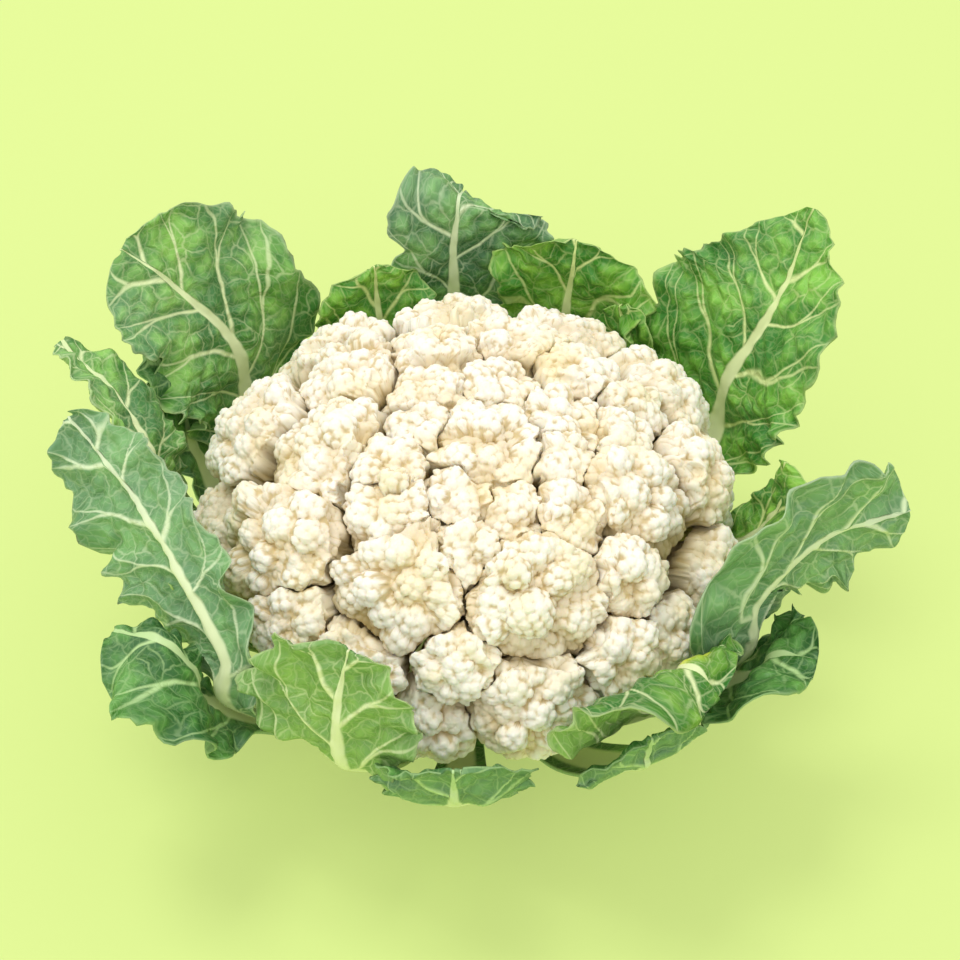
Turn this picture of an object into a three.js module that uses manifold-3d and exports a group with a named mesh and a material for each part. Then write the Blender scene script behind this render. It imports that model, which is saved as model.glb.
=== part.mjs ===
// A trimmed cauliflower: a cut stalk, the florets that branch from its core, and the leaves wrapped round them.
// Millimetres, +Z up. The origin is the centre of the stalk's flat cut face, on which the head stands.
import * as THREE from "three";
import { mergeVertices } from "three/addons/utils/BufferGeometryUtils.js";
import Module from "manifold-3d";

const wasm = await Module();
wasm.setup();

// The curd, which is the pale head: an upper and a lower half-ellipsoid that meet at its widest level.
const CURD_RADIUS = 93;
const CURD_RISE = 54;
const CURD_DROP = 45;
const CURD_LEVEL = 80;

// The tables of florets and leaves below are for a curd of this radius, and grow with the curd.
const TABLE_RADIUS = 93;
const GROWTH = CURD_RADIUS / TABLE_RADIUS;

// The stalk: its cut face, the swelling where the leaves grow, and the domed core that the florets branch from.
const STALK_RADIUS = 27;
const STALK_SWELL = 1.5;
const CORE_RADIUS = 19;
const CORE_LEVEL = 54;
const STALK_SIDES = 28;

// Florets: a rounded head on a tapering branch. Every branch points away from the core's centre.
const BRANCH_RADIUS = 6;
const HEAD_DEPTH = 0.85; // a head's depth over its radius
const HEAD_SWELL = 1.1; // a head before its neighbours press it flat, over its finished radius
const BRANCH_TAPER = 0.8; // a branch's radius where it meets the head, over the head's radius
const FLORET_GAP = 0.8;
const CORE_GAP = 0.5;
const BRANCH_SIDES = 8;
const HEAD_DETAIL = 2;

// Leaves: three whorls, from the innermost out, with the clearance of each from the curd and its heights above the
// cut face at the stalk, under the curd and at the hip, where the leaf turns upwards.
const LEAF_THICKNESS = 1.5;
const STALK_GAP = 0.5;
const WHORLS = {
  inner: { clear: 4, root: 30, belly: 40, hip: 69 },
  middle: { clear: 10, root: 20, belly: 33, hip: 66 },
  outer: { clear: 16, root: 10, belly: 26, hip: 63 },
};
const PETIOLE_HALF = 6.2; // half the width of the leaf stalk where it joins the stalk
const PETIOLE_SPREAD = 0.9; // how much wider the leaf stalk is where the blade starts, as a share
const BLADE_START = 0.85; // where the blade starts, over the midrib's length to the hip
const RIB_ROOT = 5.5; // how far the midrib stands out at the stalk
const RIB_TIP = 0.6;
const LEAF_ROWS = 12;
const FRAME_STEPS = 5; // steps of the midrib's frame for each row
const LEAF_COLUMNS = [-1, -0.62, -0.24, 0, 0.24, 0.62, 1];

// Colours
const CURD_COLOUR = 0xf4ead0;
const STALK_COLOUR = 0xd9e2ae;
const LEAF_COLOUR = { inner: 0x8fbf4a, middle: 0x4f9247, outer: 0x3d7d45 };

const degrees = THREE.MathUtils.degToRad;
const smooth = THREE.MathUtils.smoothstep;
const lerp = THREE.MathUtils.lerp;

// Each floret: azimuth from +X towards +Y, tilt from straight up, head radius, and how far it stands out of the
// curd's outline.
const FLORETS = [
  // crown
  [300, 12, 20, 0],
  [0, 24, 15, 0],
  [58, 14, 15, -1],
  [132, 14, 14, -1],
  [193, 12, 11, -2],
  [220, 26, 12, 1],
  [266, 27, 12, -2],
  [331, 27, 10, 0],
  // upper ring
  [36, 37, 15, 0],
  [70, 38, 19, 0],
  [108, 30, 17, 0],
  [141, 40, 19, 0],
  [195, 37, 20, 2],
  [236, 34, 17, 0],
  [270, 39, 12, 0],
  [291, 33, 11, -2],
  [309, 38, 13, 0],
  [338, 45, 20, 1],
  [357, 39, 12, -1],
  [17, 43, 12, 0],
  // middle ring
  [165, 58, 20, 0],
  [212, 53, 22, 2],
  [252, 46, 23, 2],
  [289, 50, 25, 2],
  [315, 55, 13, -1],
  [359, 58, 16, 0],
  [30, 62, 19, 0],
  [62, 64, 20, 0],
  [95, 62, 19, 0],
  [127, 64, 19, 0],
  // lower ring
  [186, 74, 18, -3],
  [226, 66, 15, -2],
  [244, 68, 14, -1],
  [268, 62, 12, -1],
  [262, 78, 14, -1],
  [284, 73, 20, 1],
  [305, 68, 13, -1],
  [320, 74, 14, -2],
  [340, 74, 17, -1],
  [9, 77, 14, -7],
];

// Each leaf: its whorl, the points of its midrib above the hip as [azimuth, out from the curd's widest radius, up
// from the curd's widest level], and for its clockwise and anticlockwise halves the width as an angle round the
// head, the fold at the midrib and the cupping at the tip, all in degrees. The roll turns the blade about its
// midrib, anticlockwise half inwards. The widest place is a share of the blade's length.
const LEAVES = {
  leaf_back_left: {
    whorl: "middle",
    rise: [[141, 12, 16], [147, 26, 44], [151, 40, 61]],
    wrap: [21, 20], fold: [4, 8], cup: [4, 4], roll: 0, widest: 0.52,
  },
  leaf_back: {
    whorl: "outer",
    rise: [[93, 17, 6], [93, 17, 26], [92, 22, 42], [91, 34, 37]],
    wrap: [19, 14], fold: [0, 0], cup: [0, 0], roll: 16, widest: 0.6,
  },
  leaf_back_inner_right: {
    whorl: "middle",
    rise: [[70, 12, 10], [69, 11, 26], [69, 15, 36]],
    wrap: [17, 16], fold: [0, 0], cup: [14, 14], roll: 0, widest: 0.7,
  },
  leaf_back_inner_left: {
    whorl: "inner",
    rise: [[109, 8, 10], [109, 10, 26]],
    wrap: [12, 14], fold: [0, 0], cup: [12, 12], roll: 0, widest: 0.6,
  },
  leaf_back_right: {
    whorl: "middle",
    rise: [[31, 13, 12], [29, 26, 42], [32, 45, 71]],
    wrap: [20, 24], fold: [6, 6], cup: [4, 4], roll: 0, widest: 0.42,
  },
  leaf_back_small: {
    whorl: "inner",
    rise: [[56, 8, 4], [58, 9, 18]],
    wrap: [8, 8], fold: [0, 0], cup: [8, 8], roll: 0, widest: 0.6,
  },
  leaf_right_inner: {
    whorl: "inner",
    rise: [[-1, 10, 6], [2, 14, 20]],
    wrap: [8, 8], fold: [0, 0], cup: [8, 8], roll: 0, widest: 0.6,
  },
  leaf_right: {
    whorl: "middle",
    rise: [[-29, 11, 14], [-19, 25, 29], [-11, 48, 32]],
    wrap: [17, 17], fold: [0, -10], cup: [4, 0], roll: -30, widest: 0.62,
  },
  leaf_right_lower: {
    whorl: "outer",
    rise: [[-32, 21, -2], [-30, 34, -1]],
    wrap: [16, 12], fold: [0, 0], cup: [6, 6], roll: 0, widest: 0.6,
  },
  leaf_front_right: {
    whorl: "inner",
    rise: [[-53, 9, 6], [-52, 11, 17], [-51, 17, 20], [-50, 24, 13]],
    wrap: [23, 16], fold: [0, 0], cup: [-4, -8], roll: 0, widest: 0.6,
  },
  leaf_front_right_outer: {
    whorl: "outer",
    rise: [[-60, 17, -8], [-60, 19, 3]],
    wrap: [12, 11], fold: [0, 0], cup: [8, 8], roll: 0, widest: 0.6,
  },
  leaf_front: {
    whorl: "outer",
    rise: [[-92, 17, -3], [-92, 21, 8]],
    wrap: [13, 13], fold: [0, 0], cup: [16, 16], roll: 0, widest: 0.6,
  },
  leaf_front_left: {
    whorl: "middle",
    rise: [[-112, 11, 4], [-112, 8, 21], [-111, 4, 36]],
    wrap: [19, 14], fold: [0, 0], cup: [16, 14], roll: 0, widest: 0.5,
  },
  leaf_left_lower: {
    whorl: "outer",
    rise: [[220, 17, 2], [215, 23, 12], [208, 32, 8]],
    wrap: [5, 15], fold: [-30, -5], cup: [0, -6], roll: -80, widest: 0.6,
  },
  leaf_left: {
    whorl: "middle",
    rise: [[222, 8, 8], [206, 9, 28], [191, 17, 35], [180, 34, 45]],
    wrap: [14, 9], fold: [0, 0], cup: [0, 0], roll: 30, widest: 0.6,
  },
  leaf_left_upper: {
    whorl: "middle",
    rise: [[175, 11, 14], [170, 22, 28], [163, 48, 42]],
    wrap: [9, 12], fold: [16, 20], cup: [6, 6], roll: -14, widest: 0.45,
  },
  leaf_left_behind: {
    whorl: "outer",
    rise: [[155, 17, 8], [156, 25, 32]],
    wrap: [11, 6], fold: [0, 0], cup: [8, 8], roll: 0, widest: 0.6,
  },
  leaf_left_inner: {
    whorl: "inner",
    rise: [[200, 9, 10], [196, 8, 26]],
    wrap: [10, 10], fold: [0, 0], cup: [10, 10], roll: 0, widest: 0.6,
  },
};

// A closed geometry as a manifold-3d solid.
function solidOf(geometry) {
  const bare = geometry.clone();
  bare.deleteAttribute("normal");
  bare.deleteAttribute("uv");
  const merged = mergeVertices(bare, 1e-4);
  return new wasm.Manifold(
    new wasm.Mesh({
      numProp: 3,
      vertProperties: merged.attributes.position.array,
      triVerts: new Uint32Array(merged.index.array),
    }),
  );
}

function geometryOf(solid) {
  const { numProp, numVert, vertProperties, triVerts } = solid.getMesh();
  const places = new Float32Array(numVert * 3);
  for (let i = 0; i < numVert; i++) places.set(vertProperties.subarray(i * numProp, i * numProp + 3), i * 3);
  const geometry = new THREE.BufferGeometry()
    .setAttribute("position", new THREE.BufferAttribute(places, 3))
    .setIndex(new THREE.BufferAttribute(triVerts, 1));
  geometry.computeVertexNormals();
  return geometry;
}

function mesh(name, geometry, colour, roughness) {
  const made = new THREE.Mesh(geometry, new THREE.MeshStandardMaterial({ color: colour, roughness, metalness: 0 }));
  made.name = name;
  return made;
}

// The stalk stands on its cut face and ends in the core's dome.
function stalkGeometry() {
  const swell = STALK_RADIUS + STALK_SWELL;
  const shoulder = WHORLS.inner.root + 3;
  const profile = [
    [0, 0],
    [STALK_RADIUS - 1, 0],
    [STALK_RADIUS, 1],
    [swell, WHORLS.outer.root - 4],
    [swell, shoulder],
    [CORE_RADIUS + 3, CORE_LEVEL - CORE_RADIUS * 0.6],
  ];
  for (const angle of [-15, 10, 40, 65])
    profile.push([CORE_RADIUS * Math.cos(degrees(angle)), CORE_LEVEL + CORE_RADIUS * Math.sin(degrees(angle))]);
  profile.push([0, CORE_LEVEL + CORE_RADIUS]);
  const points = profile.map(([r, z]) => new THREE.Vector2(r, z));
  return new THREE.LatheGeometry(points, STALK_SIDES).rotateX(Math.PI / 2);
}

// Distance from the core's centre to the curd's outline along a direction.
function reachAlong(direction) {
  const below = CURD_LEVEL - CORE_LEVEL;
  const radial = Math.hypot(direction.x, direction.y) / CURD_RADIUS;
  const reach = (depth) => {
    const rise = direction.z / depth;
    const offset = -below / depth;
    const a = radial * radial + rise * rise;
    const b = rise * offset;
    return (-b + Math.sqrt(b * b - a * (offset * offset - 1))) / a;
  };
  const upper = reach(CURD_RISE);
  return upper * direction.z >= below ? upper : reach(CURD_DROP);
}

function floretSpec([azimuth, tilt, headRadius, lift]) {
  const radius = headRadius * GROWTH;
  const direction = new THREE.Vector3().setFromSphericalCoords(1, degrees(tilt), 0);
  direction.set(direction.z * Math.cos(degrees(azimuth)), direction.z * Math.sin(degrees(azimuth)), direction.y);
  const reach = reachAlong(direction) + lift * GROWTH;
  return { direction, radius, depth: radius * HEAD_DEPTH, reach };
}

// The plane through the core's centre that parts two florets, nearer the smaller one, as a normal towards the second.
function partingNormal(a, b) {
  const angle = a.direction.angleTo(b.direction);
  const share = (angle * a.radius) / (a.radius + b.radius);
  const middle = a.direction
    .clone()
    .multiplyScalar(Math.sin(angle - share))
    .addScaledVector(b.direction, Math.sin(share))
    .normalize();
  return b.direction.clone().addScaledVector(middle, -b.direction.dot(middle)).normalize();
}

// A floret round the core's centre: its head and branch joined, cut flat at the core and parted from its neighbours.
function floretGeometry(spec, others) {
  const { direction, radius, depth, reach } = spec;
  const swollen = radius * HEAD_SWELL;
  const head = new THREE.IcosahedronGeometry(1, HEAD_DETAIL)
    .scale(swollen, depth * HEAD_SWELL, swollen)
    .translate(0, reach - depth * HEAD_SWELL, 0);
  const start = CORE_RADIUS + CORE_GAP;
  const end = reach - depth * HEAD_SWELL;
  const branch = new THREE.CylinderGeometry(radius * BRANCH_TAPER, BRANCH_RADIUS, end - start, BRANCH_SIDES).translate(
    0,
    (start + end) / 2,
    0,
  );
  const turn = new THREE.Matrix4().makeRotationFromQuaternion(
    new THREE.Quaternion().setFromUnitVectors(new THREE.Vector3(0, 1, 0), direction),
  );
  let solid = solidOf(head.applyMatrix4(turn)).add(solidOf(branch.applyMatrix4(turn)));
  solid = solid.trimByPlane(direction.toArray(), start);
  for (const other of others) {
    const normal = partingNormal(spec, other).negate();
    solid = solid.trimByPlane(normal.toArray(), FLORET_GAP / 2);
  }
  return geometryOf(solid);
}

// Half a leaf's width at a share u of its midrib: the leaf stalk, then an oval blade with a blunt tip.
function halfWidth(leaf, side, u, hipShare) {
  const radius = CURD_RADIUS + WHORLS[leaf.whorl].clear;
  const full = degrees(leaf.wrap[side]) * radius;
  const start = hipShare * BLADE_START;
  const t = Math.max(0, (u - start) / (1 - start));
  const falling = (t - leaf.widest) / (1.04 - leaf.widest);
  const oval = t < leaf.widest ? smooth(t, 0, leaf.widest) : Math.sqrt(Math.max(0, 1 - falling * falling));
  const petiole = PETIOLE_HALF * (1 + PETIOLE_SPREAD * smooth(u, 0, start));
  return lerp(petiole * (1 - smooth(t, leaf.widest, 1)), full, oval);
}

function midribOf(leaf) {
  const whorl = WHORLS[leaf.whorl];
  const azimuth = leaf.rise[0][0];
  const root = STALK_RADIUS + STALK_SWELL + STALK_GAP;
  const place = (angle, r, z) =>
    new THREE.Vector3(r * Math.cos(degrees(angle)), r * Math.sin(degrees(angle)), z);
  const hip = CURD_RADIUS + whorl.clear - 3;
  const points = [
    place(azimuth, root, whorl.root),
    place(azimuth, (root + hip) / 2, whorl.belly),
    place(azimuth, hip, whorl.hip),
    ...leaf.rise.map(([angle, out, up]) => place(angle, CURD_RADIUS + out * GROWTH, CURD_LEVEL + up * GROWTH)),
  ];
  return new THREE.CatmullRomCurve3(points, false, "catmullrom", 0.5);
}

// The sideways direction at each row: it starts level, anticlockwise round the head, and is carried along the midrib
// without twisting.
function sidesAlong(midrib) {
  const root = midrib.getPointAt(0);
  const side = new THREE.Vector3(-root.y, root.x, 0).normalize();
  const sides = [];
  const steps = (LEAF_ROWS - 1) * FRAME_STEPS;
  for (let step = 0; step <= steps; step++) {
    const along = midrib.getTangentAt(step / steps);
    side.addScaledVector(along, -side.dot(along)).normalize();
    if (step % FRAME_STEPS === 0) sides.push(side.clone());
  }
  return sides;
}

// A leaf is a sheet along its midrib. At each row a frame of the midrib's direction, the sideways direction and the
// inward normal carries the cross-section: two arcs that start at the fold angle and turn by the cupping.
function leafGeometry(leaf) {
  const midrib = midribOf(leaf);
  const hipLength = new THREE.CatmullRomCurve3(midrib.points.slice(0, 3), false, "catmullrom", 0.5).getLength();
  const hipShare = hipLength / midrib.getLength();
  const sides = sidesAlong(midrib);
  const upper = [];
  const lower = [];
  for (let row = 0; row < LEAF_ROWS; row++) {
    const u = row / (LEAF_ROWS - 1);
    const blade = smooth(u, hipShare * 0.8, 1);
    const centre = midrib.getPointAt(u);
    const along = midrib.getTangentAt(u);
    const side = sides[row];
    const inward = along.clone().cross(side);
    const roll = degrees(leaf.roll) * blade;
    const across = side.clone().multiplyScalar(Math.cos(roll)).addScaledVector(inward, Math.sin(roll));
    const normal = inward.clone().multiplyScalar(Math.cos(roll)).addScaledVector(side, -Math.sin(roll));
    for (const v of LEAF_COLUMNS) {
      const sign = Math.sign(v) || 1;
      const half = sign > 0 ? 1 : 0;
      const width = halfWidth(leaf, half, u, hipShare);
      const fold = degrees(leaf.fold[half]) * blade;
      const cup = degrees(lerp(leaf.wrap[half], leaf.cup[half], blade)) || 1e-6;
      const length = Math.abs(v) * width;
      const turn = (cup * length) / width;
      const x = ((Math.sin(fold + turn) - Math.sin(fold)) * width) / cup;
      const y = ((Math.cos(fold) - Math.cos(fold + turn)) * width) / cup;
      const place = centre.clone().addScaledVector(across, sign * x).addScaledVector(normal, y);
      const angle = v === 0 ? 0 : fold + turn;
      const out = normal.clone().multiplyScalar(Math.cos(angle)).addScaledVector(across, -sign * Math.sin(angle));
      const rib = v === 0 ? lerp(RIB_ROOT, RIB_TIP, u) : Math.abs(v) < 0.5 ? 0.35 * lerp(RIB_ROOT, 0, u) : 0;
      upper.push(place.clone().addScaledVector(out, LEAF_THICKNESS / 2));
      lower.push(place.clone().addScaledVector(out, -LEAF_THICKNESS / 2 - rib));
    }
  }
  return sheetGeometry(upper, lower, LEAF_ROWS, LEAF_COLUMNS.length);
}

// Closes two grids of points into one body: the upper face, the lower face and the rim between them.
function sheetGeometry(upper, lower, rows, columns) {
  const faces = [];
  const quad = (a, b, c, d) => faces.push(a, b, c, a, c, d);
  const at = (layer, row, column) => layer * rows * columns + row * columns + column;
  for (let r = 0; r < rows - 1; r++)
    for (let c = 0; c < columns - 1; c++) {
      quad(at(0, r, c), at(0, r + 1, c), at(0, r + 1, c + 1), at(0, r, c + 1));
      quad(at(1, r, c), at(1, r, c + 1), at(1, r + 1, c + 1), at(1, r + 1, c));
    }
  for (let r = 0; r < rows - 1; r++) {
    quad(at(0, r, 0), at(1, r, 0), at(1, r + 1, 0), at(0, r + 1, 0));
    quad(at(0, r, columns - 1), at(0, r + 1, columns - 1), at(1, r + 1, columns - 1), at(1, r, columns - 1));
  }
  for (let c = 0; c < columns - 1; c++) {
    quad(at(0, 0, c), at(0, 0, c + 1), at(1, 0, c + 1), at(1, 0, c));
    quad(at(0, rows - 1, c), at(1, rows - 1, c), at(1, rows - 1, c + 1), at(0, rows - 1, c + 1));
  }
  const places = new Float32Array([...upper, ...lower].flatMap((p) => p.toArray()));
  const geometry = new THREE.BufferGeometry()
    .setAttribute("position", new THREE.BufferAttribute(places, 3))
    .setIndex(faces);
  geometry.computeVertexNormals();
  return geometry;
}

const curd = new THREE.Group();
curd.position.z = CORE_LEVEL;
const specs = FLORETS.map(floretSpec);
specs.forEach((spec, i) => {
  const others = specs.filter((other) => other !== spec);
  const name = "floret_" + String(i + 1).padStart(2, "0");
  curd.add(mesh(name, floretGeometry(spec, others), CURD_COLOUR, 0.75));
});

const leaves = new THREE.Group();
for (const [name, leaf] of Object.entries(LEAVES))
  leaves.add(mesh(name, leafGeometry(leaf), LEAF_COLOUR[leaf.whorl], 0.55));

const cauliflower = new THREE.Group();
cauliflower.add(mesh("stalk", stalkGeometry(), STALK_COLOUR, 0.6), curd, leaves);

export default cauliflower;
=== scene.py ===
"""A trimmed cauliflower: riced florets on their branches, eighteen wrapper leaves and the cut stalk."""

import math

import bpy
import numpy as np
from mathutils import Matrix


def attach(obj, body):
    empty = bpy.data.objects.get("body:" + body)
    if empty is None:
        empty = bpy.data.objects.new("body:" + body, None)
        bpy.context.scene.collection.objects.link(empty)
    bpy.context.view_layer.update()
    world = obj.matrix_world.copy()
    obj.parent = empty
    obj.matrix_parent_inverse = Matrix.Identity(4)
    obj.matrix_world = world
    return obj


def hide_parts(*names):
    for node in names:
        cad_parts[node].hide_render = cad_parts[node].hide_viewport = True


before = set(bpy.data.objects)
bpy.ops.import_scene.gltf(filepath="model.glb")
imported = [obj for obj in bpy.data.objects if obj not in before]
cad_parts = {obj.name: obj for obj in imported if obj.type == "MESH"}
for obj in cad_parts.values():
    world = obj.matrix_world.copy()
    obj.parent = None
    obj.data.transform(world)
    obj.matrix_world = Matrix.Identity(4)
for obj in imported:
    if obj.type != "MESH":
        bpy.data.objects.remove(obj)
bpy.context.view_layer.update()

bl_info = {
    "name": "Cauliflower",
    "version": (1, 0, 0),
    "blender": (4, 5, 0),
    "location": "View3D > Sidebar > Cauliflower",
    "description": "Makes the florets, leaves and stalk of a cauliflower, and a stage to see it on",
    "category": "Add Mesh",
}

MM = 0.001
GOLDEN = math.pi * (3 - math.sqrt(5))

# The plant's layout in millimetres: the curd's outline, the core that the florets branch from, and the whorls.
CURD_RADIUS, CURD_DROP, CURD_LEVEL = 93.0, 45.0, 80.0
OUTLINE_RADIUS, OUTLINE_DEPTH, OUTLINE_RISE = 96.5, 92.5, 52.0
CORE_RADIUS, CORE_LEVEL, STALK_ROOT = 19.0, 54.0, 29.0
HEAD_DEPTH, HEAD_SWELL, BRANCH_TAPER, BRANCH_RADIUS = 0.85, 1.1, 0.8, 6.0
SEAM_WANDER, CROWDED, FREE = 1.6, 1.28, 1.16
WHORLS = {"inner": (4, 30, 40, 69), "middle": (10, 20, 33, 66), "outer": (16, 10, 26, 63)}
PETIOLE_HALF, PETIOLE_SPREAD = 6.2, 0.9

# Each floret: azimuth, tilt from straight up, head radius, and how far it stands out of the curd's outline.
FLORETS = [
    (300, 12, 20, 0), (0, 24, 15, 0), (58, 14, 15, -1), (132, 14, 14, -1), (193, 12, 11, -2), (220, 26, 12, 1),
    (266, 27, 12, -2), (331, 27, 10, 0),
    (36, 37, 15, 0), (70, 38, 19, 0), (108, 30, 17, 0), (141, 40, 19, 0), (195, 37, 20, 2), (236, 34, 17, 0),
    (270, 39, 12, 0), (291, 33, 11, -2), (309, 38, 13, 0), (338, 45, 20, 1), (357, 39, 12, -1), (17, 43, 12, 0),
    (165, 58, 20, 0), (212, 53, 22, 2), (252, 46, 23, 2), (289, 50, 25, 2), (315, 55, 13, -1), (359, 58, 16, 0),
    (30, 62, 19, 0), (62, 64, 20, 0), (95, 62, 19, 0), (127, 64, 19, 0),
    (186, 74, 18, -3), (226, 66, 15, -2), (244, 68, 14, -1), (268, 62, 12, -1), (262, 78, 14, -1), (284, 73, 20, 1),
    (305, 68, 13, -1), (320, 74, 14, -2), (340, 74, 17, -1), (9, 77, 14, -7),
]

# Each leaf: whorl, midrib points above the hip as (azimuth, out from the curd, up from its widest level), then for
# its clockwise and anticlockwise halves the width as an angle round the head, the fold and the cupping in degrees,
# the roll of the blade about its midrib, and the widest place as a share of the blade. Then the looks: finish, how
# narrow the blade's base is, how pointed its tip, ruffle height in millimetres, how deep the margin's lobes are, and
# notches as (half, place, width, depth).
LEAVES = {
    "back_left": ("middle", [(141, 12, 16), (147, 26, 44), (151, 40, 61)], (21, 20), (4, 8), (4, 4), 0, 0.52,
                  "broad", 0.5, 0.5, 4.0, 0.07, [(1, 0.70, 0.06, 0.30)]),
    "back": ("outer", [(93, 17, 6), (93, 17, 26), (92, 22, 42), (91, 34, 37)], (19, 14), (0, 0), (0, 0), 16, 0.6,
             "waxy", 0.7, 0.5, 2.5, 0.06, [(1, 0.66, 0.05, 0.3)]),
    "back_inner_right": ("middle", [(70, 12, 10), (69, 11, 26), (69, 15, 36)], (17, 16), (0, 0), (14, 14), 0, 0.7,
                         "tender", 0.6, 0.5, 5.5, 0.12, [(0, 0.93, 0.04, 0.3)]),
    "back_inner_left": ("inner", [(109, 8, 10), (109, 10, 26)], (12, 14), (0, 0), (12, 12), 0, 0.6,
                        "tender", 0.6, 0.5, 3.5, 0.10, []),
    "back_right": ("middle", [(31, 13, 12), (29, 26, 42), (32, 45, 71)], (20, 24), (6, 6), (4, 4), 0, 0.42,
                   "bright", 0.45, 0.85, 3.5, 0.07, []),
    "back_small": ("inner", [(56, 8, 4), (58, 9, 18)], (8, 8), (0, 0), (8, 8), 0, 0.6,
                   "tender", 0.8, 0.5, 2.0, 0.08, []),
    "right_inner": ("inner", [(-1, 10, 6), (2, 14, 20)], (8, 8), (0, 0), (8, 8), 0, 0.6,
                    "tender", 0.8, 0.5, 3.0, 0.12, []),
    "right": ("middle", [(-29, 11, 14), (-19, 25, 29), (-11, 48, 32)], (17, 17), (0, -10), (4, 0), -30, 0.62,
              "waxy", 0.6, 0.5, 3.5, 0.08, [(1, 0.86, 0.05, 0.35)]),
    "right_lower": ("outer", [(-32, 21, -2), (-30, 34, -1)], (16, 12), (0, 0), (6, 6), 0, 0.6,
                    "dark", 0.7, 0.5, 3.0, 0.10, []),
    "front_right": ("inner", [(-53, 9, 6), (-52, 11, 17), (-51, 17, 20), (-50, 24, 13)], (23, 16), (0, 0), (-4, -8),
                    0, 0.60, "pale", 0.30, 0.5, 3.0, 0.08, []),
    "front_right_outer": ("outer", [(-60, 17, -8), (-60, 19, 3)], (12, 11), (0, 0), (8, 8), 0, 0.6,
                          "dark", 1.0, 0.5, 1.5, 0.06, []),
    "front": ("outer", [(-92, 17, -3), (-92, 21, 8)], (13, 13), (0, 0), (16, 16), 0, 0.6,
              "dark", 0.8, 0.5, 2.5, 0.10, []),
    "front_left": ("middle", [(-112, 11, 4), (-112, 8, 21), (-111, 4, 36)], (19, 14), (0, 0), (16, 14), 0, 0.5,
                   "pale", 2.6, 0.5, 3.0, 0.08, []),
    "left_lower": ("outer", [(220, 17, 2), (215, 23, 12), (208, 32, 8)], (5, 15), (-30, -5), (0, -6), -80, 0.6,
                   "dark", 0.8, 0.5, 3.0, 0.06, []),
    "left": ("middle", [(222, 8, 8), (206, 9, 28), (191, 17, 35), (180, 34, 45)], (14, 9), (0, 0), (0, 0), 30, 0.6,
             "waxy", 0.7, 0.5, 3.5, 0.12, []),
    "left_upper": ("middle", [(175, 11, 14), (170, 22, 28), (163, 48, 42)], (9, 12), (16, 20), (6, 6), -14, 0.45,
                   "broad", 0.6, 0.75, 2.5, 0.10, []),
    "left_behind": ("outer", [(155, 17, 8), (156, 25, 32)], (11, 6), (0, 0), (8, 8), 0, 0.6,
                    "dark", 0.7, 0.5, 3.0, 0.08, []),
    "left_inner": ("inner", [(200, 9, 10), (196, 8, 26)], (10, 10), (0, 0), (10, 10), 0, 0.6,
                   "tender", 0.7, 0.5, 3.5, 0.12, []),
}


# Leaf finishes: upper face, its blotches, lower face and veins, and how waxy the bloom is. The blotch colour is also
# the painted highlight on the blisters' tops.
FINISHES = {
    "broad": ("2c7220", "8cc654", "90b870", "e2f0b4", 0.30),
    "waxy": ("1c5c22", "7cb45e", "7cac70", "daeabc", 0.28),
    "tender": ("388216", "92cc44", "94bc60", "d8e896", 0.08),
    "bright": ("2e7c18", "88c84a", "8cb468", "dceba0", 0.14),
    "dark": ("1e5c16", "66a444", "7aa468", "b8d892", 0.20),
    "pale": ("2c7216", "7eb03c", "9cc46a", "e0ecb0", 0.10),
}


def linear(code):
    """An sRGB hex colour as linear red, green, blue and alpha."""
    parts = [int(code[i : i + 2], 16) / 255 for i in (0, 2, 4)]
    return tuple(c / 12.92 if c <= 0.04045 else ((c + 0.055) / 1.055) ** 2.4 for c in parts) + (1.0,)


def length(name, description, default):
    """A size in metres that a user can change."""
    return bpy.props.FloatProperty(name=name, description=description, default=default, unit="LENGTH", precision=4)


def colour(name, description, code):
    """A colour that a user can change, given as sRGB hex."""
    return bpy.props.FloatVectorProperty(
        name=name, description=description, default=linear(code), size=4, min=0, max=1, subtype="COLOR"
    )


def factor(name, description, default, most=1.0):
    """A number that a user can change, from 0 up."""
    return bpy.props.FloatProperty(name=name, description=description, default=default, min=0, max=most)


class CurdLook(bpy.types.PropertyGroup):
    """Sizes and colours of the florets, and the colours of the painted shade in their hollows."""

    lobe: length("Lobe", "Radius of the smallest lobes of a head", 0.0048)
    bunch: length("Bunch", "Radius of a bunch of buds", 0.0024)
    bud: length("Bud", "Radius of one bud", 0.0009)
    pitch: length("Mesh pitch", "Distance between mesh points on a head", 0.0005)
    gap: length("Gap", "Gap between neighbouring florets", 0.0004)
    cream: colour("Cream", "Colour of most buds", "fdf7e7")
    ivory: colour("Ivory", "Colour of the riper blotches", "f9ebc2")
    # Crease, fold and deep are painted shade: tan and brown laid into the hollows between bunches, lobes and florets.
    crease: colour("Crease", "Colour between the bunches of buds", "ccb478")
    fold: colour("Fold", "Colour between the lobes", "d2b87c")
    deep: colour("Deep", "Colour between the florets", "a08a4a")


class LeafLook(bpy.types.PropertyGroup):
    """Sizes of the leaves, and the colours and bloom of each finish."""

    thickness: length("Thickness", "Thickness of the blade", 0.0009)
    vein_spacing: length("Side vein spacing", "Distance between side veins along the midrib", 0.022)
    quilting: length("Quilting", "Height of the blisters between veins", 0.0024)
    pitch: length("Mesh pitch", "Distance between mesh points", 0.0012)
    midrib: colour("Midrib", "Colour of the fleshy midribs and leaf stalks", "e3ecba")
    wax: colour("Wax", "Colour of the waxy bloom", "a8c8a4")
    blight: colour("Blight", "Colour of the yellowed patch round a hole", "e2ec3c")


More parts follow.
